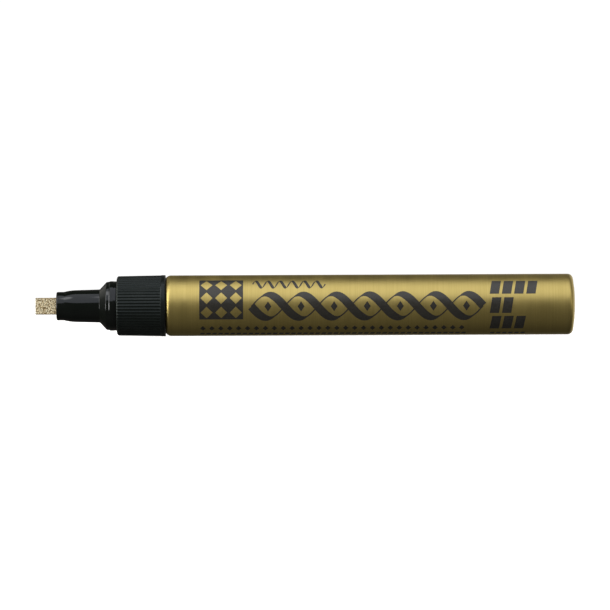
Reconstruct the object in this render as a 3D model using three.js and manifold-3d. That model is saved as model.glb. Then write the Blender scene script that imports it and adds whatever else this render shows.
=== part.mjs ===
// Calligraphy paint marker, shown open, lying along X with its nib towards -X and +Z up.
//
// The nib is pressed to open a spring valve that lets paint through from the barrel. All sizes are in
// millimetres. A station is a distance along the marker's axis from the barrel's mouth, positive towards the
// closed rear end. A turned piece is a ring of flat facets, and its radii are to the middle of the facets.

import * as THREE from 'three';
import { mergeVertices } from 'three/addons/utils/BufferGeometryUtils.js';
import Module from 'manifold-3d';

const wasm = await Module();
wasm.setup();

// Facets of turned pieces. Both counts are multiples of four, so a facet faces down.
const turnedSides = 32;
const smallSides = 20;

// Barrel: a drawn can with a rolled mouth and a slightly domed end
const barrelLength = 101;
const barrelRadius = 7.5;
const barrelWall = 0.5;
const mouthLip = 1.2;
const mouthFlat = 0.4;
const mouthCurl = 0.5;
const mouthCurlAngle = 60;
const rearCorner = 1.3;
const rearDome = 0.3;
const rearFlatRadius = 4;

// Collar: the ribbed grip whose front edge the cap meets
const collarLength = 12.06;
const collarGap = 0.1;
const collarFrontStep = -0.14;
const collarRearStep = 0.02;
const collarLipStep = 0.09;
const collarLipLength = 1.2;
const collarLipBevel = 0.25;
const collarCorner = 0.75;
const collarWall = 1.02;
const ribCount = 60;
const ribHeight = 0.14;
const ribWidth = 0.42;
const ribFootDepth = 0.3;
const spigotLength = 7.3;
const spigotWall = 0.8;
const spigotChamfer = 0.4;
const barbHeight = 0.4;
const barbCrest = 0.4;
const barbRamp = 1.2;
const ledgeDepth = 2.8;

// Nozzle: the nib holder in front of the collar
const nozzleExposed = 14.97;
const neckWall = 0.73;
const neckLength = 1.7;
const neckCorner = 0.35;
const flareLength = 3.5;
const flareRise = 0.43;
const taperLength = 5.52;
const taperRise = 0.15;
const coneAngle = 47.1;
const shoulderStep = 0.05;
const beadOffset = 0.8;
const beadLength = 0.85;
const beadHeight = 0.08;
const smallBevel = 0.1;
const snapSetback = 4.3;
const snapLength = 0.8;
const snapHeight = 0.2;
const chamberWall = 0.95;
const chamberSetback = 0.37;

// Nib: a flat bar of bonded fibre with one side ground to a chisel edge
const nibLength = 26.33;
const nibExposed = 5.2;
const nibWidth = 4.1;
const nibTipWidth = 3.98;
const nibThickness = 2.4;
const nibEdge = 0.9;
const nibBevelLength = 2;
const nibShoulderLength = 4;
const nibGuideLength = 2.5;
const nibRoom = 0.42;

// Ink sleeve: felt round the nib
const sleeveRoom = 0.22;

// Valve
const flangeThickness = 1.25;
const gasketThickness = 0.45;
const valveWall = 0.7;
const valveLength = 13.8;
const valveCupRadius = 3.2;
const valveSeatThickness = 1.5;
const paintGap = 0.6;
const stroke = 1.6;
const strokeSpare = 0.65;
const stemRadius = 1.1;
const padRadius = 2;
const padThickness = 0.7;
const headRadius = 2.6;
const headThickness = 1.1;
const sealThickness = 0.6;
const springBossLength = 1;
const springBossRoom = 0.28;
const guideRodRadius = 0.95;
const guideRodSetback = 0.5;
const rodChamfer = 0.4;
const springWire = 0.4;
const springRadius = 1.78;
const springTurns = 6;
const cageSkirtLength = 3;
const cageSkirtWall = 0.5;
const cagePlateThickness = 1;
const guideTubeRim = 0.22;
const guideTubeFront = 1.6;
const guideTubeRear = 2;
const windowCount = 4;
const windowSweep = 56;

// Packing ring between collar and barrel mouth
const packingThickness = 0.72;
const packingWidth = 0.65;
const packingRecess = 0.7;

// Mixing balls
const ballRadius = 2.5;

// Clearances
const sliding = 0.15;
const pushFit = 0.1;
const contact = 0.05;

const half = Math.PI / 2;
const degree = Math.PI / 180;

// Stations and radii that follow from the sizes above
const mouthRadius = barrelRadius - mouthLip;
const collarRear = -collarGap;
const collarFront = collarRear - collarLength;
const collarFrontRadius = barrelRadius + collarFrontStep;
const collarRearRadius = barrelRadius + collarRearStep;
const collarLipRadius = barrelRadius + collarLipStep;
const collarRoot = collarFrontRadius - ribHeight;
const collarBore = collarRoot - collarWall;
const nozzlePlugRadius = collarBore - pushFit;
const shoulderRadius = nozzlePlugRadius - shoulderStep;
const chamberRadius = nozzlePlugRadius - chamberWall;
const nibReach = Math.hypot(nibWidth, nibThickness) / 2;
const nozzleBoreRadius = nibReach + nibRoom;
const neckRadius = nozzleBoreRadius + neckWall;
const flareRadius = neckRadius + flareRise;
const taperRadius = flareRadius + taperRise;
const coneLength = (shoulderRadius - taperRadius) / Math.tan(coneAngle * degree);
const nozzleFront = collarFront - nozzleExposed;
const nibFront = nozzleFront - nibExposed;
const nibRear = nibFront + nibLength;
const coneFront = nozzleFront + neckLength + flareLength + taperLength;
const shoulderFront = coneFront + coneLength;
const snapStation = collarFront + snapSetback;
const chamberFront = shoulderFront + chamberSetback;
const spigotRadius = mouthRadius - pushFit;
const throughBore = spigotRadius - spigotWall;
const ledge = -ledgeDepth - collarGap;
const flangeRear = ledge - gasketThickness - contact;
const flangeFront = flangeRear - flangeThickness;
const nozzleRear = flangeFront - contact;
const valveRadius = throughBore - pushFit;
const springChamberRadius = valveRadius - valveWall;
const valveRear = flangeFront + valveLength;
const padFront = nibRear + pushFit;
const padRear = padFront + padThickness;
const seatFront = padRear + stroke + strokeSpare;
const seatRear = seatFront + valveSeatThickness;
const apertureRadius = stemRadius + paintGap;
const sealFront = seatRear + contact;
const headFront = sealFront + sealThickness + contact;
const headRear = headFront + headThickness;
const springFront = headRear + contact;
const plateFront = valveRear + contact;
const plateRear = plateFront + cagePlateThickness;
const springRear = plateFront - guideTubeFront - contact;
const guideTubeEnd = plateRear + guideTubeRear;
const guideRodEnd = guideTubeEnd - guideRodSetback;
const guideBore = guideRodRadius + sliding;
const springBossRadius = springRadius - springWire / 2 - springBossRoom;
const guideTubeRadius = springRadius + springWire / 2 + guideTubeRim;
const barrelBore = barrelRadius - barrelWall;
const ballOrbit = barrelBore - ballRadius - contact;
const ballSide = ballRadius + contact;
const ballDrop = Math.sqrt(ballOrbit ** 2 - ballSide ** 2);
const ballStation = barrelLength - rearDome - barrelWall - ballRadius - sliding;
const middle = (nibFront + barrelLength) / 2;

// Geometry helpers

function arc(station, radius, size, from, to, steps) {
  return Array.from({ length: steps + 1 }, (_, step) => {
    const angle = (from + ((to - from) * step) / steps) * degree;
    return [station + size * Math.cos(angle), radius + size * Math.sin(angle)];
  });
}

function ease(from, to, steps) {
  return Array.from({ length: steps - 1 }, (_, step) => {
    const along = (step + 1) / steps;
    const rise = (1 - Math.cos(Math.PI * along)) / 2;
    return [from[0] + (to[0] - from[0]) * along, from[1] + (to[1] - from[1]) * rise];
  });
}

function turned(profile, sides = turnedSides) {
  const toCorners = 1 / Math.cos(Math.PI / sides);
  const points = profile.map(([station, radius]) => new THREE.Vector2(radius * toCorners, station));
  return new THREE.LatheGeometry(points, sides, Math.PI / sides).rotateZ(-half);
}

function ring(front, rear, inner, outer, sides = turnedSides) {
  return turned([[front, inner], [front, outer], [rear, outer], [rear, inner], [front, inner]], sides);
}

function bar(front, rear, width, height) {
  return new THREE.BoxGeometry(rear - front, width, height).translate((front + rear) / 2, 0, 0);
}

function outline(points) {
  return new THREE.Shape(points.map(([along, across]) => new THREE.Vector2(along, across)));
}

function solid(geometry) {
  const bare = new THREE.BufferGeometry();
  bare.setAttribute('position', geometry.attributes.position.clone());
  bare.setIndex(geometry.index);
  const merged = mergeVertices(bare, 1e-5);
  const vertProperties = Float32Array.from(merged.attributes.position.array);
  const triVerts = Uint32Array.from(merged.index.array);
  return new wasm.Manifold(new wasm.Mesh({ numProp: 3, vertProperties, triVerts }));
}

function geometryOf(body) {
  const mesh = body.getMesh();
  const geometry = new THREE.BufferGeometry();
  geometry.setAttribute('position', new THREE.BufferAttribute(mesh.vertProperties, mesh.numProp));
  geometry.setIndex(new THREE.BufferAttribute(mesh.triVerts, 1));
  geometry.computeVertexNormals();
  return geometry;
}

// Sub-parts

function barrel() {
  const curlRadius = mouthRadius + mouthFlat;
  const curlEnd = arc(mouthCurl, curlRadius, mouthCurl, 180, 180 - mouthCurlAngle, 3);
  const [easeStation, easeRadius] = curlEnd.at(-1);
  const rise = barrelRadius - easeRadius;
  const easeLength = 2 * rise * Math.tan(mouthCurlAngle * degree);
  const shoulder = [0.3, 0.6, 1].map((along) => [
    easeStation + easeLength * along,
    barrelRadius - rise * (1 - along) ** 2,
  ]);
  const cornerStation = barrelLength - rearDome - rearCorner;
  const cornerRadius = barrelRadius - rearCorner;
  const outerCorner = arc(cornerStation, cornerRadius, rearCorner, 90, 0, 5);
  const innerCorner = arc(cornerStation, cornerRadius, rearCorner - barrelWall, 0, 90, 4);
  const outerFlat = [barrelLength, rearFlatRadius];
  const innerFlat = [barrelLength - barrelWall, rearFlatRadius];
  return turned([
    [0, mouthRadius],
    ...curlEnd,
    ...shoulder,
    ...outerCorner,
    ...domeBetween(outerCorner.at(-1), outerFlat),
    outerFlat,
    [barrelLength, 0],
    [barrelLength - barrelWall, 0],
    innerFlat,
    ...domeBetween(innerCorner[0], innerFlat).reverse(),
    ...innerCorner,
    [shoulder.at(-1)[0], barrelBore],
    [barrelWall, curlRadius],
    [barrelWall, mouthRadius],
    [0, mouthRadius],
  ]);
}

function domeBetween([edgeStation, edgeRadius], [flatStation, flatRadius]) {
  return ease([edgeRadius, edgeStation], [flatRadius, flatStation], 4)
    .map(([radius, station]) => [station, radius]);
}

function collarCore() {
  const lipFront = collarRear - collarLipLength;
  const rootCorner = collarCorner - ribHeight;
  const outside = turned([
    [collarFront, 0],
    ...arc(collarFront + rootCorner, collarRoot - rootCorner, rootCorner, 180, 90, 3),
    [lipFront, collarRearRadius - ribHeight],
    [lipFront, collarRearRadius],
    [lipFront + collarLipBevel, collarLipRadius],
    [collarRear - smallBevel, collarLipRadius],
    [collarRear, collarLipRadius - smallBevel],
    [collarRear, 0],
  ], ribCount);
  return solid(outside);
}

function gripRibs() {
  const lipFront = collarRear - collarLipLength;
  const rear = lipFront + collarLipBevel;
  const foot = collarRoot - ribFootDepth;
  const corner = arc(collarFront + collarCorner, collarFrontRadius - collarCorner, collarCorner, 150, 90, 2);
  const side = outline([
    [corner[0][0], foot - ribFootDepth],
    ...corner,
    [lipFront, collarRearRadius],
    [rear, collarRearRadius],
    [rear, foot],
  ]);
  const rib = new THREE.ExtrudeGeometry(side, { depth: ribWidth, bevelEnabled: false });
  rib.translate(0, 0, -ribWidth / 2);
  const turns = Array.from({ length: ribCount }, (_, index) => (index * 2 * Math.PI) / ribCount);
  return turns.map((turn) => solid(rib.clone().rotateX(turn)));
}

function collar() {
  const spigotFront = collarFront + collarLength / 2;
  const spigotRear = collarRear + spigotLength;
  const barbFront = barrelWall + sliding;
  const snapFront = snapStation - snapLength / 2 - pushFit;
  const snapRear = snapStation + snapLength / 2 + pushFit;
  const spigot = turned([
    [spigotFront, 0],
    [spigotFront, spigotRadius],
    [barbFront, spigotRadius],
    [barbFront, spigotRadius + barbHeight],
    [barbFront + barbCrest, spigotRadius + barbHeight],
    [barbFront + barbCrest + barbRamp, spigotRadius],
    [spigotRear - spigotChamfer, spigotRadius],
    [spigotRear, spigotRadius - spigotChamfer],
    [spigotRear, 0],
  ]);
  const recess = ring(
    collarRear - packingRecess, collarRear + contact, spigotRadius, spigotRadius + packingWidth + pushFit,
  );
  const bore = turned([
    [collarFront - 1, 0],
    [collarFront - 1, collarBore],
    [snapFront, collarBore],
    [snapFront, collarBore + snapHeight],
    [snapRear, collarBore + snapHeight],
    [snapRear, collarBore],
    [ledge, collarBore],
    [ledge, throughBore],
    [spigotRear + 1, throughBore],
    [spigotRear + 1, 0],
  ]);
  const shell = wasm.Manifold.union([collarCore(), ...gripRibs()]).subtract(solid(recess));
  return geometryOf(shell.add(solid(spigot)).subtract(solid(bore)));
}

function nozzle() {
  const neckRear = nozzleFront + neckLength;
  const flareRear = neckRear + flareLength;
  const beadFront = shoulderFront + beadOffset;
  const boreRear = chamberFront - (chamberRadius - nozzleBoreRadius);
  const body = turned([
    [nozzleFront, 0],
    ...arc(nozzleFront + neckCorner, neckRadius - neckCorner, neckCorner, 180, 90, 3),
    [neckRear, neckRadius],
    ...ease([neckRear, neckRadius], [flareRear, flareRadius], 5),
    [flareRear, flareRadius],
    [coneFront, taperRadius],
    [shoulderFront, shoulderRadius - smallBevel],
    [shoulderFront + smallBevel, shoulderRadius],
    [beadFront - smallBevel, shoulderRadius],
    [beadFront, shoulderRadius + beadHeight],
    [beadFront + beadLength, shoulderRadius + beadHeight],
    [beadFront + beadLength + smallBevel, nozzlePlugRadius],
    [snapStation - snapLength / 2, nozzlePlugRadius],
    [snapStation - snapLength / 2, nozzlePlugRadius + snapHeight],
    [snapStation, nozzlePlugRadius + snapHeight],
    [snapStation + snapLength / 2, nozzlePlugRadius],
    [nozzleRear, nozzlePlugRadius],
    [nozzleRear, chamberRadius],
    [chamberFront, chamberRadius],
    [boreRear, nozzleBoreRadius],
    [nozzleFront + nibGuideLength, nozzleBoreRadius],
    [nozzleFront + nibGuideLength, 0],
  ]);
  const guide = bar(
    nozzleFront - 1, nozzleFront + nibGuideLength + 1, nibThickness + 2 * sliding, nibWidth + 2 * sliding,
  );
  return geometryOf(solid(body).subtract(solid(guide)));
}

function nib() {
  const shoulder = nibFront + nibShoulderLength;
  const face = outline([
    [nibFront, -nibTipWidth / 2],
    [shoulder, -nibWidth / 2],
    [nibRear, -nibWidth / 2],
    [nibRear, nibWidth / 2],
    [shoulder, nibWidth / 2],
    [nibFront, nibTipWidth / 2],
  ]);
  const bevelTop = nibThickness / 2;
  const edge = outline([
    [nibFront, -bevelTop],
    [nibRear, -bevelTop],
    [nibRear, bevelTop],
    [nibFront + nibBevelLength, bevelTop],
    [nibFront, nibEdge - bevelTop],
  ]);
  const spare = 1;
  const faceBlock = new THREE.ExtrudeGeometry(face, { depth: nibThickness + 2 * spare, bevelEnabled: false });
  faceBlock.translate(0, 0, -nibThickness / 2 - spare).rotateX(half);
  const edgeBlock = new THREE.ExtrudeGeometry(edge, { depth: nibWidth + 2 * spare, bevelEnabled: false });
  edgeBlock.translate(0, 0, -nibWidth / 2 - spare);
  return geometryOf(solid(faceBlock).intersect(solid(edgeBlock)));
}

function inkSleeve() {
  return ring(
    chamberFront + contact, flangeFront - sliding, nibReach + sleeveRoom, chamberRadius - sliding,
  );
}

function valveGasket() {
  return ring(ledge - gasketThickness, ledge - contact / 2, throughBore + contact, collarBore - pushFit);
}

function valveBody() {
  return turned([
    [flangeFront, valveCupRadius],
    [flangeFront, nozzlePlugRadius],
    [flangeRear, nozzlePlugRadius],
    [flangeRear, valveRadius],
    [valveRear, valveRadius],
    [valveRear, springChamberRadius],
    [seatRear, springChamberRadius],
    [seatRear, apertureRadius],
    [seatFront, apertureRadius],
    [seatFront, valveCupRadius],
    [flangeFront, valveCupRadius],
  ]);
}

function valveStem() {
  return turned([
    [padFront, 0],
    [padFront, padRadius],
    [padRear, padRadius],
    [padRear, stemRadius],
    [headFront, stemRadius],
    [headFront, headRadius],
    [headRear, headRadius],
    [headRear, springBossRadius],
    [headRear + springBossLength, springBossRadius],
    [headRear + springBossLength, guideRodRadius],
    [guideRodEnd - rodChamfer, guideRodRadius],
    [guideRodEnd, guideRodRadius - rodChamfer],
    [guideRodEnd, 0],
  ], smallSides);
}

function stemSeal() {
  return ring(sealFront, sealFront + sealThickness, stemRadius + contact, headRadius, smallSides);
}

function valveSpring() {
  const start = springFront + springWire / 2;
  const end = springRear - springWire / 2;
  const steps = springTurns * 12;
  const centres = Array.from({ length: steps + 1 }, (_, step) => {
    const turn = (step / steps) * springTurns * 2 * Math.PI;
    const along = start + ((end - start) * step) / steps;
    return new THREE.Vector3(along, springRadius * Math.cos(turn), springRadius * Math.sin(turn));
  });
  const wire = new THREE.Shape().absarc(0, 0, springWire / 2, 0, 2 * Math.PI);
  return new THREE.ExtrudeGeometry(wire, {
    steps,
    curveSegments: 6,
    extrudePath: new THREE.CatmullRomCurve3(centres),
  });
}

function valveCage() {
  const skirtRadius = springChamberRadius - contact;
  const skirtBore = skirtRadius - cageSkirtWall;
  const body = turned([
    [springRear + contact, guideBore],
    [springRear + contact, guideTubeRadius],
    [plateFront, guideTubeRadius],
    [plateFront, skirtBore],
    [valveRear - cageSkirtLength, skirtBore],
    [valveRear - cageSkirtLength, skirtRadius],
    [plateFront, skirtRadius],
    [plateFront, valveRadius],
    [plateRear, valveRadius],
    [plateRear, guideTubeRadius],
    [guideTubeEnd, guideTubeRadius],
    [guideTubeEnd, guideBore],
    [springRear + contact, guideBore],
  ]);
  const turns = Array.from({ length: windowCount }, (_, index) => (index * 2 * Math.PI) / windowCount);
  const windows = turns.map((turn) => (
    solid(paintWindow(guideTubeRadius + smallBevel, skirtBore - smallBevel).rotateX(turn))
  ));
  return geometryOf(solid(body).subtract(wasm.Manifold.union(windows)));
}

function paintWindow(inner, outer) {
  const sweep = windowSweep * degree;
  const sector = new THREE.Shape();
  sector.absarc(0, 0, outer, -sweep / 2, sweep / 2, false);
  sector.absarc(0, 0, inner, sweep / 2, -sweep / 2, true);
  sector.closePath();
  const depth = 3 * cagePlateThickness;
  const block = new THREE.ExtrudeGeometry(sector, { depth, curveSegments: 4, bevelEnabled: false });
  return block.rotateY(half).translate(plateFront - cagePlateThickness, 0, 0);
}

function mouthPacking() {
  const front = collarRear - packingRecess + contact;
  return ring(front, front + packingThickness, spigotRadius + contact, spigotRadius + packingWidth);
}

function mixingBall(side) {
  const ball = new THREE.SphereGeometry(ballRadius, smallSides, 12);
  return ball.rotateZ(half).translate(ballStation, side * ballSide, -ballDrop);
}

// Assembly

const finishes = {
  goldLacquer: { color: 0xa88d48, roughness: 0.38, metalness: 1 },
  mattBlack: { color: 0x1b1d1e, roughness: 0.6, metalness: 0 },
  glossBlack: { color: 0x101113, roughness: 0.18, metalness: 0 },
  stainedFibre: { color: 0xc8b482, roughness: 0.85, metalness: 0.2 },
  inkedFelt: { color: 0xa08a50, roughness: 1, metalness: 0 },
  naturalPlastic: { color: 0xe4e2da, roughness: 0.45, metalness: 0 },
  whitePlastic: { color: 0xf2f1ec, roughness: 0.4, metalness: 0 },
  blackRubber: { color: 0x18191a, roughness: 0.8, metalness: 0 },
  springSteel: { color: 0xb9bcc0, roughness: 0.3, metalness: 1 },
  ballSteel: { color: 0xc6c9cc, roughness: 0.15, metalness: 1 },
};

const marker = new THREE.Group();
marker.position.set(-middle, 0, collarLipRadius);

function place(name, geometry, finish) {
  const mesh = new THREE.Mesh(geometry, new THREE.MeshStandardMaterial(finishes[finish]));
  mesh.name = name;
  marker.add(mesh);
}

place('barrel', barrel(), 'goldLacquer');
place('mouth_packing', mouthPacking(), 'blackRubber');
place('collar', collar(), 'mattBlack');
place('nozzle', nozzle(), 'glossBlack');
place('nib', nib(), 'stainedFibre');
place('ink_sleeve', inkSleeve(), 'inkedFelt');
place('valve_gasket', valveGasket(), 'blackRubber');
place('valve_body', valveBody(), 'naturalPlastic');
place('valve_stem', valveStem(), 'whitePlastic');
place('stem_seal', stemSeal(), 'blackRubber');
place('valve_spring', valveSpring(), 'springSteel');
place('valve_cage', valveCage(), 'whitePlastic');
place('mixing_ball_near', mixingBall(-1), 'ballSteel');
place('mixing_ball_far', mixingBall(1), 'ballSteel');

export default marker;
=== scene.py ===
import math

import bmesh
import bpy
from mathutils import Matrix, Vector, noise


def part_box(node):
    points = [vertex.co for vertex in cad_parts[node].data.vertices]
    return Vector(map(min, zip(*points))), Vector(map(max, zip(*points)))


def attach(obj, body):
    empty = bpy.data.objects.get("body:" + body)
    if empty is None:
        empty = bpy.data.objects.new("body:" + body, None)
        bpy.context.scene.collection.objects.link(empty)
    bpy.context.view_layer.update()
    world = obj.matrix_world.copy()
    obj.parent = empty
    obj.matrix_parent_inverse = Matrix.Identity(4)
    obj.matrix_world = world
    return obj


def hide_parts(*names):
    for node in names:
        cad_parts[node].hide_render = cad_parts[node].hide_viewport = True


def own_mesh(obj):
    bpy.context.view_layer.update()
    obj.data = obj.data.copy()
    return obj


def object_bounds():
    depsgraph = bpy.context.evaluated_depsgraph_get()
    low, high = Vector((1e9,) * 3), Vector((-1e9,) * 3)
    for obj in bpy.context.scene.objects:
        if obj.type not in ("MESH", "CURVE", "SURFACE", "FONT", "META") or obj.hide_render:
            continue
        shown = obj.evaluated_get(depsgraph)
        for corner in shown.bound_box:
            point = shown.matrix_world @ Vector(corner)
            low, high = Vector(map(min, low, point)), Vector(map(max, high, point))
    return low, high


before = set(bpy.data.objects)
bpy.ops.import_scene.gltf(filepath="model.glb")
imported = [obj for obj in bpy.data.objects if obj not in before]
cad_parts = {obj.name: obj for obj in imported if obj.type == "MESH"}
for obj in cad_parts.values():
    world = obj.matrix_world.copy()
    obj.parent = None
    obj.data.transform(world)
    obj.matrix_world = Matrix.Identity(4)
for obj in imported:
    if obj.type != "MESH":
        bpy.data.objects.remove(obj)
cad_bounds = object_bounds()

MM = 0.001
TURN = 2 * math.pi


# ---------------------------------------------------------------------------------------------------------
# Sizes taken from the frame
# ---------------------------------------------------------------------------------------------------------

mouth_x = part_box("barrel")[0].x
axis_z = (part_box("collar")[0].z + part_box("collar")[1].z) / 2


def front(node):
    """Station of a node's front end, in millimetres."""
    return (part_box(node)[0].x - mouth_x) / MM


def rear(node):
    """Station of a node's rear end, in millimetres."""
    return (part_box(node)[1].x - mouth_x) / MM


def reach(node):
    """How far a node reaches below the axis, in millimetres: the true radius of a turned piece."""
    return (axis_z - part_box(node)[0].z) / MM


def span(node, axis):
    """A node's size along X, Y or Z, in millimetres."""
    low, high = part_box(node)
    return (high[axis] - low[axis]) / MM


# ---------------------------------------------------------------------------------------------------------
# Camera, light and floor
# ---------------------------------------------------------------------------------------------------------

VIEW_WIDTH = 151.1
VIEW_DISTANCE = 1100
SENSOR = 36
ROLL = 0.25
CAMERA_ASIDE = 0.05
CAMERA_ABOVE = 0.03
CLIP_RANGE = (0.01, 20)

KEY_ELEVATION = 59
KEY_SPREAD = 74
KEY_STRENGTH = 1.5
KEY_COLOUR = (0.97, 0.97, 1.0)
STUDIO_COLOUR = (1, 0.965, 0.88)
BACKDROP_STRENGTH = 1.05

# Studio radiance between two directions, given by their Y: in front of the marker, and behind it
STUDIO_FRONT_Y = -0.6
STUDIO_BACK_Y = 0.4
STUDIO_FRONT = 0.13
STUDIO_BACK = 0.055

# Soft cards round the marker: azimuth, elevation, inner and outer angle of the soft edge, radiance
CARDS = [
    (-68, -2, 7, 15, 11.5),
    (-76, 34, 8, 22, 2.0),
    (-60, 24, 8, 26, 4.1),
    (-45, 58, 5, 13, 3.2),
    (-118, 8, 10, 38, 0.35),
    (-125, 35, 14, 32, 0.35),
    (48, 24, 8, 28, 0.8),
    (70, -1, 7, 14, 1.3),
    (138, 5, 15, 50, 1.0),
]


def camera():
    data = bpy.data.cameras.new("camera")
    data.sensor_width = SENSOR
    data.lens = SENSOR * VIEW_DISTANCE / VIEW_WIDTH
    data.clip_start, data.clip_end = CLIP_RANGE
    made = bpy.data.objects.new("camera", data)
    bpy.context.scene.collection.objects.link(made)
    low, high = cad_bounds
    middle = (low.x + high.x) / 2 + CAMERA_ASIDE * MM
    made.location = (middle, -VIEW_DISTANCE * MM, axis_z + CAMERA_ABOVE * MM)
    made.rotation_euler = (math.pi / 2, math.radians(ROLL), 0)
    bpy.context.scene.camera = made


def key_light():
    """A large round soft light above the camera, far enough off to light the whole floor evenly."""
    data = bpy.data.lights.new("key_light", "SUN")
    data.angle = math.radians(KEY_SPREAD)
    data.energy = KEY_STRENGTH
    data.color = KEY_COLOUR
    made = bpy.data.objects.new("key_light", data)
    bpy.context.scene.collection.objects.link(made)
    made.rotation_euler = (math.radians(90 - KEY_ELEVATION), 0, 0)


def studio_world():
    """White behind the marker, and for light and reflections a dim studio with a few soft cards."""
    world = bpy.data.worlds.new("studio")
    bpy.context.scene.world = world
    world.use_nodes = True
    nodes, links = world.node_tree.nodes, world.node_tree.links
    nodes.clear()
    direction = nodes.new("ShaderNodeTexCoord").outputs["Generated"]
    split = nodes.new("ShaderNodeSeparateXYZ")
    links.new(direction, split.inputs[0])

    def ramp(value, stops):
        node = nodes.new("ShaderNodeMapRange")
        node.interpolation_type = "SMOOTHSTEP"
        links.new(value, node.inputs["Value"])
        for socket, number in zip(("From Min", "From Max", "To Min", "To Max"), stops):
            node.inputs[socket].default_value = number
        return node.outputs["Result"]

    def sum_of(first, second):
        node = nodes.new("ShaderNodeMath")
        links.new(first, node.inputs[0])
        links.new(second, node.inputs[1])
        return node.outputs[0]

    def card(azimuth, elevation, inner, outer, radiance):
        turn, rise = math.radians(azimuth), math.radians(elevation)
        node = nodes.new("ShaderNodeVectorMath")
        node.operation = "DOT_PRODUCT"
        links.new(direction, node.inputs[0])
        node.inputs[1].default_value = (
            math.sin(turn) * math.cos(rise), -math.cos(turn) * math.cos(rise), math.sin(rise),
        )
        limits = math.cos(math.radians(outer)), math.cos(math.radians(inner))
        return ramp(node.outputs["Value"], (*limits, 0, radiance))

    light = ramp(split.outputs["Y"], (STUDIO_FRONT_Y, STUDIO_BACK_Y, STUDIO_FRONT, STUDIO_BACK))
    for each in CARDS:
        light = sum_of(light, card(*each))
    studio = nodes.new("ShaderNodeBackground")
    studio.inputs["Color"].default_value = (*STUDIO_COLOUR, 1)
    links.new(light, studio.inputs["Strength"])
    white = nodes.new("ShaderNodeBackground")
    white.inputs["Strength"].default_value = BACKDROP_STRENGTH
    white.inputs["Color"].default_value = (1, 1, 1, 1)
    mix = nodes.new("ShaderNodeMixShader")
    links.new(nodes.new("ShaderNodeLightPath").outputs["Is Camera Ray"], mix.inputs["Fac"])
    links.new(studio.outputs[0], mix.inputs[1])
    links.new(white.outputs[0], mix.inputs[2])
    links.new(mix.outputs[0], nodes.new("ShaderNodeOutputWorld").inputs["Surface"])


FLOOR_SIZE = 6
FLOOR_GLOW = 0.55
FLOOR_COLOUR = (0.86, 0.86, 0.86)


def floor():
    """A pale floor that shows and takes shadows, but adds nothing to reflections."""
    mesh = bmesh.new()
    bmesh.ops.create_grid(mesh, x_segments=1, y_segments=1, size=FLOOR_SIZE / 2)
    made = new_object("floor", mesh)
    made.visible_glossy = False
    made.visible_diffuse = False
    made.visible_transmission = False
    made.visible_shadow = False
    material = bpy.data.materials.new("pale_floor")
    material.use_nodes = True
    shader = material.node_tree.nodes["Principled BSDF"]
    shader.inputs["Base Color"].default_value = (*FLOOR_COLOUR, 1)
    shader.inputs["Roughness"].default_value = 1
    shader.inputs["Specular IOR Level"].default_value = 0
    shader.inputs["Emission Color"].default_value = (1, 1, 1, 1)
    shader.inputs["Emission Strength"].default_value = FLOOR_GLOW
    made.data.materials.append(material)


# ---------------------------------------------------------------------------------------------------------
# Mesh helpers
# ---------------------------------------------------------------------------------------------------------

def new_object(name, mesh, smooth_below=35):
    data = bpy.data.meshes.new(name)
    mesh.to_mesh(data)
    mesh.free()
    data.shade_smooth()
    data.set_sharp_from_angle(angle=math.radians(smooth_below))
    made = bpy.data.objects.new(name, data)
    bpy.context.scene.collection.objects.link(made)
    return made


def piece(name, mesh, body, material, replaces=None, smooth_below=35):
    """Puts a mesh made on the marker's axis into the frame as a finished piece."""
    into_frame = Matrix.Translation((mouth_x, 0, axis_z)) @ Matrix.Scale(MM, 4)
    mesh.transform(into_frame)
    made = new_object(name, mesh, smooth_below)
    made.data.materials.append(material)
    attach(made, body)
    if replaces:
        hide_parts(replaces)
    return made


def arc(centre, size, start, end, steps):
    """Points of (station, radius) on a round stretch; angles in degrees from the rearward direction."""
    angles = [math.radians(start + (end - start) * step / steps) for step in range(steps + 1)]
    return [(centre[0] + size * math.cos(a), centre[1] + size * math.sin(a)) for a in angles]


def ease(start, end, steps):
    """Points of a soft S between two outline points, ends left out."""
    points = []
    for step in range(1, steps):
        along = step / steps
        rise = (1 - math.cos(math.pi * along)) / 2
        points.append((start[0] + (end[0] - start[0]) * along, start[1] + (end[1] - start[1]) * rise))
    return points


def turned(outline, sides):
    """An outline of (station, radius) spun round the axis, closed unless both ends lie on the axis."""
    mesh = bmesh.new()
    corners = [mesh.verts.new((station, 0, radius)) for station, radius in outline]
    on_axis = outline[0][1] == 0 and outline[-1][1] == 0
    followers = corners[1:] if on_axis else corners[1:] + corners[:1]
    edges = [mesh.edges.new(pair) for pair in zip(corners, followers)]
    bmesh.ops.spin(
        mesh, geom=corners + edges, cent=(0, 0, 0), axis=(1, 0, 0), angle=TURN, steps=sides, use_merge=True,
    )
    bmesh.ops.remove_doubles(mesh, verts=mesh.verts, dist=1e-4)
    bmesh.ops.recalc_face_normals(mesh, faces=mesh.faces)
    return mesh


def ring(mesh, sides, place):
    """A loop round the axis, whose vertices lie where place says from their turn: (station, across, up)."""
    made = bmesh.ops.create_circle(mesh, segments=sides, radius=1, matrix=Matrix.Rotation(TURN / 4, 4, "Y"))
    for vertex in made["verts"]:
        vertex.co = place(math.atan2(vertex.co.y, vertex.co.z))
    return list({edge for vertex in made["verts"] for edge in vertex.link_edges})


def round_place(station, radius):
    return lambda turn: (station, radius * math.sin(turn), radius * math.cos(turn))


def lofted(places, sides):
    """A closed solid through a chain of loops that comes back to its first loop."""
    mesh = bmesh.new()
    loops = [ring(mesh, sides, place) for place in places]
    for loop, following in zip(loops, loops[1:] + loops[:1]):
        bmesh.ops.bridge_loops(mesh, edges=loop + following)
    bmesh.ops.recalc_face_normals(mesh, faces=mesh.faces)
    return mesh


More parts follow.
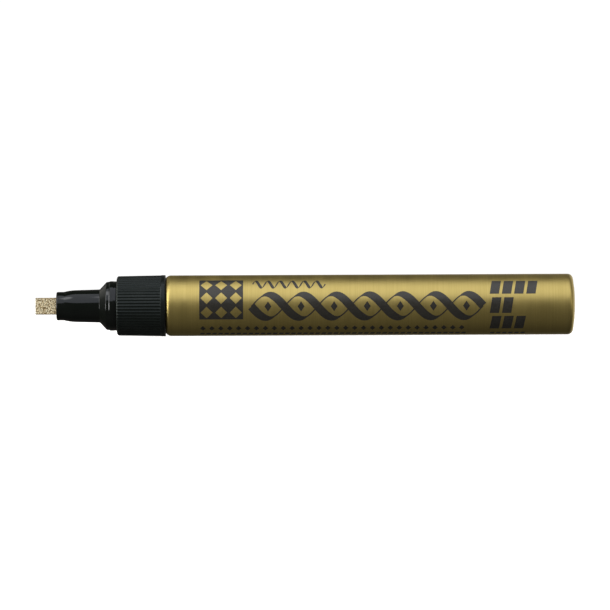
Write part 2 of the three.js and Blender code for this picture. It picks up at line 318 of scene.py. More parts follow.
def soften(mesh, rims, segments=3):
    """Rounds the edges that run round the axis at each (station, radius), by the given setback."""
    for station, radius, setback in rims:
        rim = [
            edge for edge in mesh.edges
            if all(
                abs(v.co.x - station) < 1e-3 and abs(math.hypot(v.co.y, v.co.z) - radius) < 1e-3
                for v in edge.verts
            )
        ]
        bmesh.ops.bevel(
            mesh, geom=rim, offset=setback, offset_type="OFFSET", segments=segments, profile=0.5,
            affect="EDGES", clamp_overlap=True, material=-1,
        )


# ---------------------------------------------------------------------------------------------------------
# Materials
# ---------------------------------------------------------------------------------------------------------

class Finish:
    """A procedural surface on object coordinates, in metres."""

    def __init__(self, name, **constants):
        self.material = bpy.data.materials.new(name)
        self.material.use_nodes = True
        self.nodes = self.material.node_tree.nodes
        self.links = self.material.node_tree.links
        self.shader = self.nodes["Principled BSDF"]
        self.place = self.nodes.new("ShaderNodeTexCoord").outputs["Object"]
        for socket, value in constants.items():
            self.shader.inputs[socket.replace("_", " ")].default_value = value

    def stretched(self, scale):
        """Coordinates centred on the marker's axis and scaled along X, Y and Z."""
        node = self.nodes.new("ShaderNodeMapping")
        node.inputs["Location"].default_value = (0, 0, -axis_z * scale[2])
        node.inputs["Scale"].default_value = scale
        self.links.new(self.place, node.inputs["Vector"])
        return node.outputs["Vector"]

    def grain(self, size, detail=2.0, roughness=0.5, stretch=(1, 1, 1)):
        """Noise whose blotches are about size millimetres across, times stretch."""
        node = self.nodes.new("ShaderNodeTexNoise")
        node.inputs["Scale"].default_value = 1 / (size * MM)
        node.inputs["Detail"].default_value = detail
        node.inputs["Roughness"].default_value = roughness
        self.links.new(self.stretched([1 / s for s in stretch]), node.inputs["Vector"])
        return node.outputs["Fac"]

    def cells(self, size):
        """Distance to scattered points about size millimetres apart."""
        node = self.nodes.new("ShaderNodeTexVoronoi")
        node.inputs["Scale"].default_value = 1 / (size * MM)
        self.links.new(self.stretched((1, 1, 1)), node.inputs["Vector"])
        return node.outputs["Distance"]

    def height_from_axis(self):
        """How far a point lies above or below the marker's axis, in metres."""
        split = self.nodes.new("ShaderNodeSeparateXYZ")
        self.links.new(self.stretched((1, 1, 1)), split.inputs[0])
        node = self.nodes.new("ShaderNodeMath")
        node.operation = "ABSOLUTE"
        self.links.new(split.outputs["Z"], node.inputs[0])
        return node.outputs[0]

    def spread(self, value, start, end, low=0.0, high=1.0):
        """A value between start and end spread over low to high."""
        node = self.nodes.new("ShaderNodeMapRange")
        for socket, number in zip(("From Min", "From Max", "To Min", "To Max"), (start, end, low, high)):
            node.inputs[socket].default_value = number
        self.links.new(value, node.inputs["Value"])
        return node.outputs["Result"]

    def blend(self, value, first, second):
        """A colour between two, which may be colours or sockets."""
        node = self.nodes.new("ShaderNodeMix")
        node.data_type = "RGBA"
        self.links.new(value, node.inputs["Factor"])
        for socket, colour in zip(node.inputs[6:8], (first, second)):
            if isinstance(colour, bpy.types.NodeSocket):
                self.links.new(colour, socket)
            else:
                socket.default_value = (*colour, 1)
        return node.outputs[2]

    def colour(self, socket):
        self.links.new(socket, self.shader.inputs["Base Color"])

    def roughness(self, socket):
        self.links.new(socket, self.shader.inputs["Roughness"])

    def relief(self, value, depth):
        """Bump of depth millimetres; several calls add up."""
        node = self.nodes.new("ShaderNodeBump")
        node.inputs["Distance"].default_value = depth * MM
        self.links.new(value, node.inputs["Height"])
        normal = self.shader.inputs["Normal"]
        if normal.is_linked:
            self.links.new(normal.links[0].from_socket, node.inputs["Normal"])
        self.links.new(node.outputs["Normal"], normal)


def gold_lacquer():
    """Drawn aluminium under gold lacquer, with faint marks of turning round the can."""
    finish = Finish("gold_lacquer", Metallic=1.0, Specular_Tint=(1, 1, 1, 1))
    turning = finish.grain(0.22, detail=3, roughness=0.6, stretch=(1, 60, 60))
    broad = finish.grain(2.4, detail=1, stretch=(1, 12, 12))
    finish.colour(finish.blend(
        finish.spread(turning, 0.3, 0.7),
        (0.420, 0.334, 0.116),
        (0.472, 0.378, 0.136),
    ))
    finish.roughness(finish.spread(broad, 0.3, 0.7, 0.41, 0.47))
    finish.relief(turning, 0.0025)
    return finish.material


def print_ink():
    """Black ink laid on the lacquer as a thin film."""
    finish = Finish("print_ink", IOR=1.5)
    cloud = finish.grain(0.35, detail=3)
    finish.colour(finish.blend(
        finish.spread(cloud, 0.3, 0.7),
        (0.015, 0.014, 0.012),
        (0.026, 0.025, 0.022),
    ))
    finish.roughness(finish.spread(cloud, 0.3, 0.7, 0.30, 0.42))
    finish.relief(cloud, 0.004)
    return finish.material


def matt_black():
    """Moulded collar plastic with a spark-eroded grain."""
    finish = Finish("matt_black", IOR=1.5, Specular_Tint=(0.33, 0.39, 0.41, 1))
    grain = finish.grain(0.12, detail=3, roughness=0.6)
    cloud = finish.grain(3.0, detail=2)
    finish.colour(finish.blend(
        finish.spread(cloud, 0.3, 0.7),
        (0.0060, 0.0080, 0.0074),
        (0.0085, 0.0105, 0.0100),
    ))
    finish.roughness(finish.spread(grain, 0.3, 0.7, 0.22, 0.32))
    finish.relief(grain, 0.003)
    return finish.material


def gloss_black():
    """Polished nozzle plastic with soft flow marks."""
    finish = Finish("gloss_black", IOR=1.5, Specular_Tint=(0.66, 0.69, 0.77, 1))
    flow = finish.grain(1.6, detail=3, stretch=(4, 1, 1))
    fine = finish.grain(0.25, detail=2)
    finish.colour(finish.blend(
        finish.spread(flow, 0.3, 0.7),
        (0.0020, 0.0034, 0.0022),
        (0.0032, 0.0046, 0.0034),
    ))
    finish.roughness(finish.spread(flow, 0.3, 0.7, 0.07, 0.12))
    finish.relief(fine, 0.0012)
    return finish.material


def stained_fibre():
    """Bonded fibre soaked with metallic paint: pale grains, with painted shade darkening the pores between
    them and the long edges.
    """
    finish = Finish("stained_fibre", IOR=1.5)
    grains = finish.cells(0.34)
    cloud = finish.grain(0.5, detail=3)
    base = finish.blend(finish.spread(cloud, 0.4, 0.6), (0.73, 0.605, 0.375), (0.89, 0.82, 0.61))
    # The pores between the grains are painted dark: painted shade in the pits, not wear.
    pore_shaded = finish.blend(finish.spread(grains, 0.42, 0.66), base, (0.195, 0.138, 0.058))
    # A band along the long top and bottom edges is painted dark: painted shade along the edges, not a
    # colour of the fibre.
    rim = [share * nib_width / 2 * MM for share in NIB_EDGE_SHADE_SHARES]
    edge = finish.spread(finish.height_from_axis(), *rim)
    finish.colour(finish.blend(edge, pore_shaded, (0.21, 0.147, 0.063)))
    finish.roughness(finish.spread(cloud, 0.3, 0.7, 0.5, 0.85))
    finish.relief(finish.spread(grains, 0.2, 0.6, 1, 0), 0.05)
    return finish.material


def inked_felt():
    """Felt soaked with gold paint."""
    finish = Finish("inked_felt", Roughness=0.95)
    fibres = finish.grain(0.10, detail=4, roughness=0.7, stretch=(1, 3, 3))
    cloud = finish.grain(1.2, detail=2)
    base = finish.blend(finish.spread(cloud, 0.3, 0.7), (0.30, 0.22, 0.075), (0.42, 0.32, 0.12))
    finish.colour(finish.blend(finish.spread(fibres, 0.4, 0.7), base, (0.16, 0.115, 0.04)))
    finish.relief(fibres, 0.06)
    return finish.material


def moulded_plastic(name, dark, light, roughness):
    """Plain moulded plastic, faintly cloudy, with a fine satin grain."""
    finish = Finish(name, IOR=1.5, Subsurface_Weight=0.15, Subsurface_Radius=(0.001, 0.001, 0.0008))
    cloud = finish.grain(1.5, detail=3)
    grain = finish.grain(0.1, detail=2)
    finish.colour(finish.blend(finish.spread(cloud, 0.3, 0.7), dark, light))
    finish.roughness(finish.spread(grain, 0.3, 0.7, roughness - 0.06, roughness + 0.08))
    finish.relief(grain, 0.004)
    return finish.material


def black_rubber():
    """Matt moulded rubber."""
    finish = Finish("black_rubber", IOR=1.5)
    grain = finish.grain(0.08, detail=4, roughness=0.7)
    finish.colour(finish.blend(
        finish.spread(grain, 0.35, 0.65),
        (0.010, 0.010, 0.010),
        (0.020, 0.020, 0.021),
    ))
    finish.roughness(finish.spread(grain, 0.3, 0.7, 0.62, 0.85))
    finish.relief(grain, 0.012)
    return finish.material


def bright_steel(name, roughness, draw):
    """Steel with fine marks; draw is how far they run along Y and Z compared with X."""
    finish = Finish(name, Metallic=1.0)
    marks = finish.grain(0.06, detail=3, stretch=(1, draw, draw))
    finish.colour(finish.blend(finish.spread(marks, 0.3, 0.7), (0.52, 0.53, 0.54), (0.66, 0.67, 0.68)))
    finish.roughness(finish.spread(marks, 0.3, 0.7, roughness, roughness + 0.12))
    finish.relief(marks, 0.002)
    return finish.material


# ---------------------------------------------------------------------------------------------------------
# Barrel
# ---------------------------------------------------------------------------------------------------------

BARREL_SIDES = 192
BARREL_WALL = 0.5
MOUTH_RADIUS = 6.3
MOUTH_FLAT = 0.4
MOUTH_CURL = 0.5
MOUTH_CURL_ANGLE = 52
REAR_CORNER = 1.3
REAR_DOME = 0.3
REAR_FLAT_RADIUS = 4.0
CURL_STEPS = 8
MOUTH_STEPS = 10
OUTER_CORNER_STEPS = 12
INNER_CORNER_STEPS = 8
DOME_STEPS = 10
barrel_radius = reach("barrel")
barrel_rear = rear("barrel")


def barrel():
    """A drawn can: its mouth is rolled in, and its closed end has a round corner and a shallow dome."""
    curl_radius = MOUTH_RADIUS + MOUTH_FLAT
    curl = arc((MOUTH_CURL, curl_radius), MOUTH_CURL, 180, 180 - MOUTH_CURL_ANGLE, CURL_STEPS)
    rise = barrel_radius - curl[-1][1]
    shoulder_length = 2 * rise * math.tan(math.radians(MOUTH_CURL_ANGLE))
    shoulder = [
        (curl[-1][0] + shoulder_length * share, barrel_radius - rise * (1 - share) ** 2)
        for share in (step / MOUTH_STEPS for step in range(1, MOUTH_STEPS + 1))
    ]
    corner_centre = (barrel_rear - REAR_DOME - REAR_CORNER, barrel_radius - REAR_CORNER)
    outer_corner = arc(corner_centre, REAR_CORNER, 90, 0, OUTER_CORNER_STEPS)
    inner_corner = arc(corner_centre, REAR_CORNER - BARREL_WALL, 0, 90, INNER_CORNER_STEPS)
    dome_rim = (outer_corner[-1][1], outer_corner[-1][0])
    dome = [(s, r) for r, s in ease(dome_rim, (REAR_FLAT_RADIUS, barrel_rear), DOME_STEPS)]
    inside = [(s - BARREL_WALL, r) for s, r in reversed(dome)]
    outline = [
        (barrel_rear, 0),
        (barrel_rear, REAR_FLAT_RADIUS),
        *reversed(dome),
        *reversed(outer_corner),
        *reversed(shoulder),
        *reversed(curl),
        (0, MOUTH_RADIUS),
        (BARREL_WALL, MOUTH_RADIUS),
        (BARREL_WALL, curl_radius),
        (shoulder[-1][0], barrel_radius - BARREL_WALL),
        *reversed(inner_corner),
        *reversed(inside),
        (barrel_rear - BARREL_WALL, REAR_FLAT_RADIUS),
        (barrel_rear - BARREL_WALL, 0),
    ]
    return turned(outline, BARREL_SIDES)


# ---------------------------------------------------------------------------------------------------------
# Collar
# ---------------------------------------------------------------------------------------------------------

RIB_COUNT = 60
RIB_HEIGHT = 0.14
RIB_SEGMENTS = 12
RIB_END_RAMP = 0.02
COLLAR_CORNER = 0.6
COLLAR_CORNER_STEPS = 8
COLLAR_FRONT_STEP = -0.14
COLLAR_REAR_STEP = 0.02
LIP_LENGTH = 1.2
LIP_BEVEL = 0.25
LIP_EDGE = 0.1
LIP_FRONT_ROUND = 0.06
LIP_REAR_ROUND = 0.04
COLLAR_BORE_ROUND = 0.08
COLLAR_BORE = 6.2
THROUGH_BORE = 5.4
COLLAR_LEDGE = -2.9
SPIGOT_RADIUS = 6.2
SPIGOT_CHAMFER = 0.4
BARB_FRONT = 0.65
BARB_RADIUS = 6.6
BARB_CREST = 0.4
BARB_RAMP = 1.2
RECESS_DEPTH = 0.7
RECESS_RADIUS = 6.95
COLLAR_GAP = 0.1
collar_front = front("collar")
collar_rear = -COLLAR_GAP
spigot_rear = rear("collar")
lip_radius = reach("collar")


def rib_share(turn):
    """How far up a rib the surface is at this turn: 0 in the groove and 1 on the crest."""
    return (1 + math.cos(RIB_COUNT * turn)) / 2


def ribbed_place(groove, crest):
    """A loop that runs over the ribs, between a groove point and a crest point of (station, radius)."""
    def place(turn):
        share = rib_share(turn)
        station = groove[0] + (crest[0] - groove[0]) * share
        radius = groove[1] + (crest[1] - groove[1]) * share
        return station, radius * math.sin(turn), radius * math.cos(turn)
    return place


def collar():
    """The ribbed grip, its lip behind the ribs, and the barbed spigot that holds it in the barrel."""
    crest_radius = barrel_radius + COLLAR_FRONT_STEP
    crest_end = barrel_radius + COLLAR_REAR_STEP
    lip_front = collar_rear - LIP_LENGTH
    groove_corner = COLLAR_CORNER - RIB_HEIGHT
    grooves, crests = (
        arc((collar_front + size, crest_radius - COLLAR_CORNER), size, 180, 90, COLLAR_CORNER_STEPS)
        for size in (groove_corner, COLLAR_CORNER)
    )
    ribbed = [ribbed_place(groove, crest) for groove, crest in zip(grooves, crests)]
    ribbed.append(ribbed_place((lip_front, crest_end - RIB_HEIGHT), (lip_front, crest_end)))
    plain = [
        (lip_front + RIB_END_RAMP, crest_end),
        (lip_front + LIP_BEVEL, lip_radius),
        (collar_rear - LIP_EDGE, lip_radius),
        (collar_rear, lip_radius - LIP_EDGE),
        (collar_rear, RECESS_RADIUS),
        (collar_rear - RECESS_DEPTH, RECESS_RADIUS),
        (collar_rear - RECESS_DEPTH, SPIGOT_RADIUS),
        (BARB_FRONT, SPIGOT_RADIUS),
        (BARB_FRONT, BARB_RADIUS),
        (BARB_FRONT + BARB_CREST, BARB_RADIUS),
        (BARB_FRONT + BARB_CREST + BARB_RAMP, SPIGOT_RADIUS),
        (spigot_rear - SPIGOT_CHAMFER, SPIGOT_RADIUS),
        (spigot_rear, SPIGOT_RADIUS - SPIGOT_CHAMFER),
        (spigot_rear, THROUGH_BORE),
        (COLLAR_LEDGE, THROUGH_BORE),
        (COLLAR_LEDGE, COLLAR_BORE),
        (collar_front, COLLAR_BORE),
    ]
    places = ribbed + [round_place(station, radius) for station, radius in plain]
    mesh = lofted(places, RIB_COUNT * RIB_SEGMENTS)
    soften(mesh, [
        (lip_front + LIP_BEVEL, lip_radius, LIP_FRONT_ROUND),
        (collar_rear - LIP_EDGE, lip_radius, LIP_REAR_ROUND),
        (collar_front, COLLAR_BORE, COLLAR_BORE_ROUND),
    ])
    return mesh


# ---------------------------------------------------------------------------------------------------------
# Nozzle
# ---------------------------------------------------------------------------------------------------------

NOZZLE_SIDES = 160
NECK_RADIUS = 3.525
NECK_LENGTH = 1.85
NECK_CORNER = 0.35
NECK_CORNER_STEPS = 6
FLARE_LENGTH = 3.35
FLARE_RISE = 0.43
FLARE_STEPS = 14
TAPER_LENGTH = 5.52
TAPER_RISE = 0.15
CONE_ANGLE = 47.1
EDGE_RADIUS = 5.92
SHOULDER_RADIUS = 6.05
GROOVE_DEPTH = 0.05
BEAD_OFFSET = 0.58
BEAD_LENGTH = 1.07
BEAD_HEIGHT = 0.08
BEAD_RAMP = 0.2
PLUG_RADIUS = 6.1
SNAP_SETBACK = 4.3
SNAP_LENGTH = 0.8
SNAP_HEIGHT = 0.1
NOZZLE_BORE = 2.795
CHAMBER_RADIUS = 5.15
CHAMBER_SETBACK = 0.37
NIB_ROOM = 0.15
NIB_GUIDE_LENGTH = 2.5
SLOT_CHAMFER = 0.12
CONE_FRONT_ROUND = 0.08
CONE_REAR_ROUND = 0.1
BEAD_FRONT_ROUND = 0.03
BEAD_REAR_ROUND = 0.05
nozzle_front = front("nozzle")
nozzle_rear = rear("nozzle")
nib_thickness = span("nib", 1)
nib_width = span("nib", 2)


def slot_place(station, half_across, half_up):
    """A loop on the sides of a rectangle."""
    def place(turn):
        across, up = math.sin(turn), math.cos(turn)
        stretch = min(half_across / max(abs(across), 1e-6), half_up / max(abs(up), 1e-6))
        return station, across * stretch, up * stretch
    return place


def nozzle():
    """The nib holder: a flared neck, a cone, a shoulder with the cap's bead, and a plug that snaps in."""
    neck_corner_centre = (nozzle_front + NECK_CORNER, NECK_RADIUS - NECK_CORNER)
    neck_rear = nozzle_front + NECK_LENGTH
    flare_rear = neck_rear + FLARE_LENGTH
    flare_radius = NECK_RADIUS + FLARE_RISE
    cone_front = flare_rear + TAPER_LENGTH
    cone_radius = flare_radius + TAPER_RISE
    cone_slope = math.tan(math.radians(CONE_ANGLE))
    cone_rear = cone_front + (EDGE_RADIUS - cone_radius) / cone_slope
    shoulder = cone_front + (SHOULDER_RADIUS - cone_radius) / cone_slope
    bead_front = shoulder + BEAD_OFFSET
    bead_rear = bead_front + BEAD_LENGTH
    bead_radius = SHOULDER_RADIUS + BEAD_HEIGHT
    groove_radius = SHOULDER_RADIUS - GROOVE_DEPTH
    snap_front = collar_front + SNAP_SETBACK - SNAP_LENGTH / 2
    chamber_front = shoulder + CHAMBER_SETBACK
    outside = [
        *arc(neck_corner_centre, NECK_CORNER, 180, 90, NECK_CORNER_STEPS),
        (neck_rear, NECK_RADIUS),
        *[
            (flare_rear - FLARE_LENGTH * left, flare_radius - FLARE_RISE * left ** 2)
            for left in (1 - step / FLARE_STEPS for step in range(1, FLARE_STEPS + 1))
        ],
        (cone_front, cone_radius),
        (cone_rear, EDGE_RADIUS),
        (bead_front, groove_radius),
        (bead_front + BEAD_RAMP, bead_radius),
        (bead_rear, bead_radius),
        (bead_rear + BEAD_HEIGHT, PLUG_RADIUS),
        (snap_front, PLUG_RADIUS),
        (snap_front, PLUG_RADIUS + SNAP_HEIGHT),
        (snap_front + SNAP_LENGTH / 2, PLUG_RADIUS + SNAP_HEIGHT),
        (snap_front + SNAP_LENGTH, PLUG_RADIUS),
        (nozzle_rear, PLUG_RADIUS),
        (nozzle_rear, CHAMBER_RADIUS),
        (chamber_front, CHAMBER_RADIUS),
        (chamber_front - (CHAMBER_RADIUS - NOZZLE_BORE), NOZZLE_BORE),
        (nozzle_front + NIB_GUIDE_LENGTH, NOZZLE_BORE),
    ]
    slot = nib_thickness / 2 + NIB_ROOM, nib_width / 2 + NIB_ROOM
    places = [round_place(station, radius) for station, radius in outside]
    places.append(slot_place(nozzle_front + NIB_GUIDE_LENGTH, *slot))
    places.append(slot_place(nozzle_front + SLOT_CHAMFER, *slot))
    places.append(slot_place(nozzle_front, *(half + SLOT_CHAMFER for half in slot)))
    mesh = lofted(places, NOZZLE_SIDES)
    soften(mesh, [
        (cone_front, cone_radius, CONE_FRONT_ROUND),
        (cone_rear, EDGE_RADIUS, CONE_REAR_ROUND),
        (bead_front, groove_radius, BEAD_FRONT_ROUND),
        (bead_front + BEAD_RAMP, bead_radius, BEAD_FRONT_ROUND),
        (bead_rear, bead_radius, BEAD_REAR_ROUND),
    ])
    return mesh


# ---------------------------------------------------------------------------------------------------------
# Nib
# ---------------------------------------------------------------------------------------------------------

NIB_CELL = 0.14
NIB_TIP_WIDTH = 4.06
NIB_EDGE = 0.9
NIB_BEVEL_LENGTH = 2.0
NIB_SHOULDER_LENGTH = 4.0
NIB_CORNER = 0.14
# Painted shade along the nib's long edges: where it starts and where it is full, as shares of the half
# width.
NIB_EDGE_SHADE_SHARES = (0.87, 0.99)
PORE_DEPTH = 0.13
PORE_MEAN_DEPTH = 0.06
PORE_SIZE = 0.33
PORE_BRIM = 0.35
WAVE_SIZE = 2.2 * PORE_SIZE
WAVE_SHARE = 0.35
PORE_SHARE = 0.65
nib_front = front("nib")
nib_rear = rear("nib")


def nib():
    """A bar of bonded fibre with a chisel edge, its whole surface broken by open pores.

    The pores take their mean depth off both sides, so the bar starts that much wider.
    """
    mesh = bmesh.new()
    bmesh.ops.create_cube(mesh, size=1)
    sizes = (nib_rear - nib_front, nib_thickness, nib_width + 2 * PORE_MEAN_DEPTH)
    bmesh.ops.scale(mesh, vec=sizes, verts=mesh.verts)
    bmesh.ops.translate(mesh, vec=((nib_front + nib_rear) / 2, 0, 0), verts=mesh.verts)
    bmesh.ops.bevel(
        mesh, geom=list(mesh.edges), offset=NIB_CORNER, offset_type="OFFSET", segments=2, profile=0.5,
        affect="EDGES", clamp_overlap=True, material=-1,
    )
    for axis, size in enumerate(sizes):
        along = Vector([float(index == axis) for index in range(3)])
        long_edges = [
            edge for edge in mesh.edges
            if (edge.verts[0].co - edge.verts[1].co).length > size / 2
            and abs((edge.verts[0].co - edge.verts[1].co).normalized().dot(along)) > 0.9
        ]
        cuts = round(size / NIB_CELL) - 1
        bmesh.ops.subdivide_edges(mesh, edges=long_edges, cuts=cuts, use_grid_fill=True)
    mesh.normal_update()
    moves = [(vertex, vertex.normal * -pore_depth(vertex.co)) for vertex in mesh.verts]
    for vertex, move in moves:
        vertex.co += move
    for vertex in mesh.verts:
        vertex.co = chiselled(vertex.co)
    bmesh.ops.recalc_face_normals(mesh, faces=mesh.faces)
    return mesh


def pore_depth(point):
    """How far the fibre surface sinks at a point: shallow waves, with deep pores where cells meet."""
    wave = 0.5 + 0.5 * noise.noise(point / WAVE_SIZE)
    distances, _ = noise.voronoi(point / PORE_SIZE)
    pit = max(0.0, 1 - (distances[1] - distances[0]) / PORE_BRIM)
    return PORE_DEPTH * (WAVE_SHARE * wave + PORE_SHARE * pit)


def chiselled(point):
    """The point moved so that the bar narrows to its tip and one side is ground to the edge."""
    behind = point.x - nib_front
    to_tip = max(0.0, 1 - behind / NIB_SHOULDER_LENGTH)
    narrowing = 1 - to_tip * (1 - NIB_TIP_WIDTH / nib_width)
    ground = max(0.0, 1 - behind / NIB_BEVEL_LENGTH)
    thickness = nib_thickness - (nib_thickness - NIB_EDGE) * ground
    share = point.y / nib_thickness + 0.5
    return Vector((point.x, share * thickness - nib_thickness / 2, point.z * narrowing))


# ---------------------------------------------------------------------------------------------------------
# Valve spring and mixing balls
# ---------------------------------------------------------------------------------------------------------

SPRING_WIRE = 0.4
SPRING_RADIUS = 1.78
SPRING_TURNS = 6
SPRING_DEAD_PITCH = 0.42
SPRING_STEPS = 40
WIRE_SIDES = 14


def valve_spring():
    """A compression spring wound with one closed turn at each end."""
    start = front("valve_spring") + SPRING_WIRE / 2
    end = rear("valve_spring") - SPRING_WIRE / 2
    live_turns = SPRING_TURNS - 2
    live_pitch = (end - start - 2 * SPRING_DEAD_PITCH) / live_turns
    mesh = bmesh.new()
    section = Matrix.Translation((start, 0, SPRING_RADIUS)) @ Matrix.Rotation(TURN / 4, 4, "X")
    made = bmesh.ops.create_circle(mesh, segments=WIRE_SIDES, radius=SPRING_WIRE / 2, matrix=section)
    last = made["verts"] + list({edge for vertex in made["verts"] for edge in vertex.link_edges})
    for turns, pitch in ((1, SPRING_DEAD_PITCH), (live_turns, live_pitch), (1, SPRING_DEAD_PITCH)):
        steps = turns * SPRING_STEPS
        last = bmesh.ops.spin(
            mesh, geom=last, cent=(0, 0, 0), axis=(1, 0, 0), angle=turns * TURN, steps=steps,
            dvec=(pitch / SPRING_STEPS, 0, 0),
        )["geom_last"]
    bmesh.ops.holes_fill(mesh, edges=[edge for edge in mesh.edges if edge.is_boundary])
    bmesh.ops.recalc_face_normals(mesh, faces=mesh.faces)
    return mesh


def mixing_ball(node):
    """A hardened steel ball where the CAD ball lies."""
    low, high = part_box(node)
    middle = (low + high) / 2 - Vector((mouth_x, 0, axis_z))
    mesh = bmesh.new()
    place = Matrix.Translation(middle / MM)
    bmesh.ops.create_icosphere(mesh, subdivisions=5, radius=(high.x - low.x) / 2 / MM, matrix=place)
    return mesh


# ---------------------------------------------------------------------------------------------------------
# Print on the barrel: a generic ornament, with no lettering
# ---------------------------------------------------------------------------------------------------------

FILM_BELOW = 0.012
FILM_ABOVE = 0.014
WRAP_STEP = 0.45
BADGE_SIZE = 10.8
BADGE_STATION = 13.75
BADGE_HEIGHT = 1.85
BADGE_CELLS = 3
BADGE_RIM = 0.35
BADGE_WINDOW = 0.72
BORDER_START = 21.2
BORDER_END = 78.2
BORDER_HEIGHT = -0.3
BORDER_SWING = 3.0
BORDER_EYES = 7
BORDER_PEN = 2.1
EYE_MARK = (1.7, 2.5)
PEN_ANGLE = 40
HAIRLINE = 0.32
WAVE_SEGMENTS = 32

# The fine wave over the border
FINE_START = 21.5
FINE_END = 39.4
FINE_HEIGHT = 5.7
FINE_SWING = 1.1
FINE_WAVES = 6
FINE_PEN = 0.75
FINE_HAIRLINE = 0.2

# Rows of equal marks: how many, the first one's station, their pitch, and their height on the barrel
MARK_ROW = (30, 9.2, 2.2, -6.4)
MARK_SIZE = (1.35, 1.7)
TICK_ROW = (44, 9.0, 1.5, -8.9)
TICK_SIZE = (1.05, 0.9)
TICK_SLANT = 0.3
STROKE_ROWS = [(4, 81.3, 3.0, 4.6), (2, 81.3, 3.0, -0.2), (3, 81.3, 3.0, -4.9)]
STROKE_SIZE = (2.3, 3.9)
STROKE_SLANT = 0.16
END_TICK_ROW = (6, 80.6, 1.5, -9.0)
END_TICK_SIZE = (1.0, 0.9)

# The far side: rules of three lengths in turn, and a block
RULE_COUNT = 7
RULE_START = 14
RULE_LENGTH = 52
RULE_SHORTENING = 7
RULE_LENGTHS = 3
RULE_HEIGHT = 19.5
RULE_PITCH = 1.55
RULE_BREADTH = 0.62
BACK_BLOCK_PLACE = (80.5, 24.2)
BACK_BLOCK_SIZE = (9.5, 9.9)


def flat_place(station, height, length, breadth, turn=0):
    """Where a flat shape of unit size goes. Heights are measured round the barrel from its near side."""
    return (
        Matrix.Translation((station, height, 0))
        @ Matrix.Diagonal((length, breadth, 1, 1))
        @ Matrix.Rotation(math.radians(turn), 4, "Z")
    )


def bar(mesh, station, height, length, breadth, slant=0.0):
    """A bar of print, whose top may lean towards the rear by slant."""
    made = bmesh.ops.create_grid(
        mesh, x_segments=1, y_segments=1, size=0.5, matrix=flat_place(station, height, length, breadth),
    )
    for vertex in made["verts"]:
        vertex.co.x += (vertex.co.y - height) * slant


def diamond(mesh, station, height, length, breadth):
    """The mark of a broad nib set down and lifted."""
    bmesh.ops.create_circle(
        mesh, cap_ends=True, segments=4, radius=0.5, matrix=flat_place(station, height, length, breadth),
    )


def row_of(draw, mesh, row, size, *style):
    """The same mark drawn again and again along the barrel."""
    count, start, pitch, height = row
    for index in range(count):
        draw(mesh, start + pitch * index, height, *size, *style)


def pen_wave(mesh, start, end, height, swing, waves, pen, least=HAIRLINE):
    """A wave drawn with a broad nib held at one angle: thick one way and thin the other."""
    made = bmesh.ops.create_grid(mesh, x_segments=round(waves * WAVE_SEGMENTS), y_segments=1, size=0.5)
    angle = math.radians(PEN_ANGLE)
    for vertex in made["verts"]:
        along = vertex.co.x + 0.5
        phase = TURN * waves * along
        slope = Vector((end - start, swing * TURN * waves * math.cos(phase))).normalized()
        width = max(least, pen * abs(slope.x * math.sin(angle) - slope.y * math.cos(angle)))
        aside = math.copysign(width / 2, vertex.co.y)
        vertex.co = (
            start + (end - start) * along - slope.y * aside,
            height + swing * math.sin(phase) + slope.x * aside,
            0,
        )


def wrapped(mesh):
    """The flat print wrapped round the barrel as a thin closed film."""
    heights = [vertex.co.y for vertex in mesh.verts]
    cuts = range(math.floor(min(heights) / WRAP_STEP), math.ceil(max(heights) / WRAP_STEP) + 1)
    for cut in cuts:
        bmesh.ops.bisect_plane(
            mesh, geom=list(mesh.verts) + list(mesh.edges) + list(mesh.faces),
            plane_co=(0, cut * WRAP_STEP, 0), plane_no=(0, 1, 0),
        )
    inner = barrel_radius - FILM_BELOW
    for vertex in mesh.verts:
        turn = vertex.co.y / barrel_radius
        vertex.co = (vertex.co.x, -inner * math.cos(turn), inner * math.sin(turn))
    mesh.normal_update()
    for face in mesh.faces:
        middle = face.calc_center_median()
        if face.normal.dot(Vector((0, middle.y, middle.z))) < 0:
            face.normal_flip()
    bmesh.ops.solidify(mesh, geom=list(mesh.faces), thickness=-(FILM_BELOW + FILM_ABOVE))
    bmesh.ops.recalc_face_normals(mesh, faces=mesh.faces)
    return mesh


def badge():
    """A square patch with a lattice of nib-mark windows."""
    mesh = bmesh.new()
    made = bmesh.ops.create_grid(
        mesh, x_segments=BADGE_CELLS, y_segments=BADGE_CELLS, size=0.5,
        matrix=flat_place(BADGE_STATION, BADGE_HEIGHT, BADGE_SIZE, BADGE_SIZE),
    )
    faces = list({face for vertex in made["verts"] for face in vertex.link_faces})
    bmesh.ops.inset_individual(mesh, faces=faces, thickness=BADGE_RIM, use_even_offset=True)
    for face in faces:
        centre = face.calc_center_median()
        turn = Matrix.Rotation(TURN / 8, 4, "Z") @ Matrix.Scale(BADGE_WINDOW, 4)
        bmesh.ops.transform(mesh, matrix=turn, space=Matrix.Translation(-centre), verts=face.verts)
    bmesh.ops.delete(mesh, geom=faces, context="FACES")
    return wrapped(mesh)


def border():
    """Two broad-nib waves that cross, with a nib mark in each eye."""
    mesh = bmesh.new()
    for swing in (BORDER_SWING, -BORDER_SWING):
        pen_wave(
            mesh, BORDER_START, BORDER_END, BORDER_HEIGHT, swing, BORDER_EYES / 2, BORDER_PEN,
        )
    eye = (BORDER_END - BORDER_START) / BORDER_EYES
    for index in range(BORDER_EYES):
        diamond(mesh, BORDER_START + (index + 0.5) * eye, BORDER_HEIGHT, *EYE_MARK)
    return wrapped(mesh)


def small_print():
    """A fine wave above the border, and rows of small nib marks below it."""
    mesh = bmesh.new()
    pen_wave(mesh, FINE_START, FINE_END, FINE_HEIGHT, FINE_SWING, FINE_WAVES, FINE_PEN, FINE_HAIRLINE)
    row_of(diamond, mesh, MARK_ROW, MARK_SIZE)
    row_of(bar, mesh, TICK_ROW, TICK_SIZE, TICK_SLANT)
    return wrapped(mesh)


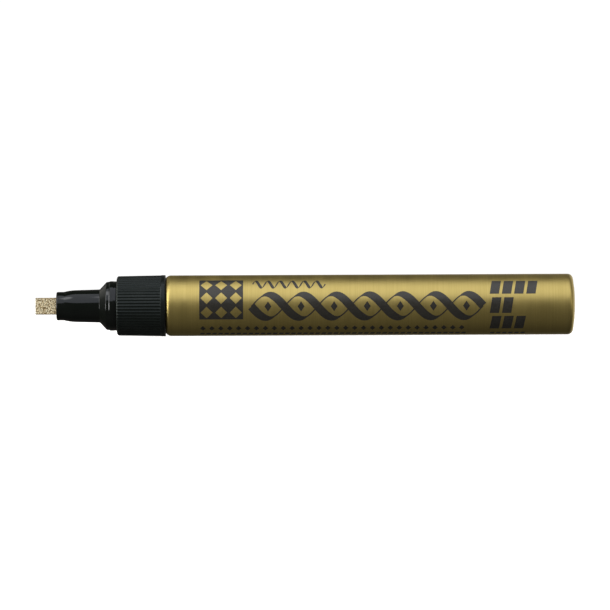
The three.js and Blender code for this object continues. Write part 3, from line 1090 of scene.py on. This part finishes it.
def end_blocks():
    """Rows of slanted pen strokes near the rear end, and a row of ticks under them."""
    mesh = bmesh.new()
    for row in STROKE_ROWS:
        row_of(bar, mesh, row, STROKE_SIZE, STROKE_SLANT)
    row_of(bar, mesh, END_TICK_ROW, END_TICK_SIZE, TICK_SLANT)
    return wrapped(mesh)


def back_print():
    """Plain rules and a block on the far side."""
    mesh = bmesh.new()
    for rule in range(RULE_COUNT):
        length = RULE_LENGTH - RULE_SHORTENING * (rule % RULE_LENGTHS)
        bar(mesh, RULE_START + length / 2, RULE_HEIGHT + RULE_PITCH * rule, length, RULE_BREADTH)
    bar(mesh, *BACK_BLOCK_PLACE, *BACK_BLOCK_SIZE)
    return wrapped(mesh)


# ---------------------------------------------------------------------------------------------------------
# Assembly
# ---------------------------------------------------------------------------------------------------------

def dress(node, material):
    """A CAD node shown as it is, with its finish."""
    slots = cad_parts[node].data.materials
    slots.clear()
    slots.append(material)


scene = bpy.context.scene
scene.view_settings.view_transform = "Standard"
camera()
key_light()
studio_world()
floor()

ink = print_ink()
rubber = black_rubber()
ball_steel = bright_steel("ball_steel", 0.08, 1)
white_plastic = moulded_plastic("white_plastic", (0.78, 0.77, 0.73), (0.86, 0.85, 0.82), 0.38)

piece("barrel_can", barrel(), "casing", gold_lacquer(), "barrel", smooth_below=50)
piece("ribbed_collar", collar(), "casing", matt_black(), "collar", smooth_below=40)
piece("nib_nozzle", nozzle(), "casing", gloss_black(), "nozzle", smooth_below=30)
piece("fibre_nib", nib(), "tip", stained_fibre(), "nib", smooth_below=60)
for name, print_mesh in (
    ("print_badge", badge()),
    ("print_border", border()),
    ("print_small", small_print()),
    ("print_end_blocks", end_blocks()),
    ("print_back", back_print()),
):
    piece(name, print_mesh, "casing", ink)

spring_steel = bright_steel("spring_steel", 0.22, 8)
spring = piece("wound_spring", valve_spring(), "casing", spring_steel, "valve_spring")
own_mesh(spring)
for side in ("near", "far"):
    node = f"mixing_ball_{side}"
    piece(f"steel_ball_{side}", mixing_ball(node), f"ball_{side}", ball_steel, node)

dress("ink_sleeve", inked_felt())
dress("valve_body", moulded_plastic("natural_plastic", (0.70, 0.68, 0.61), (0.80, 0.78, 0.72), 0.34))
for node in ("valve_stem", "valve_cage"):
    dress(node, white_plastic)
for node in ("mouth_packing", "valve_gasket", "stem_seal"):
    dress(node, rubber)
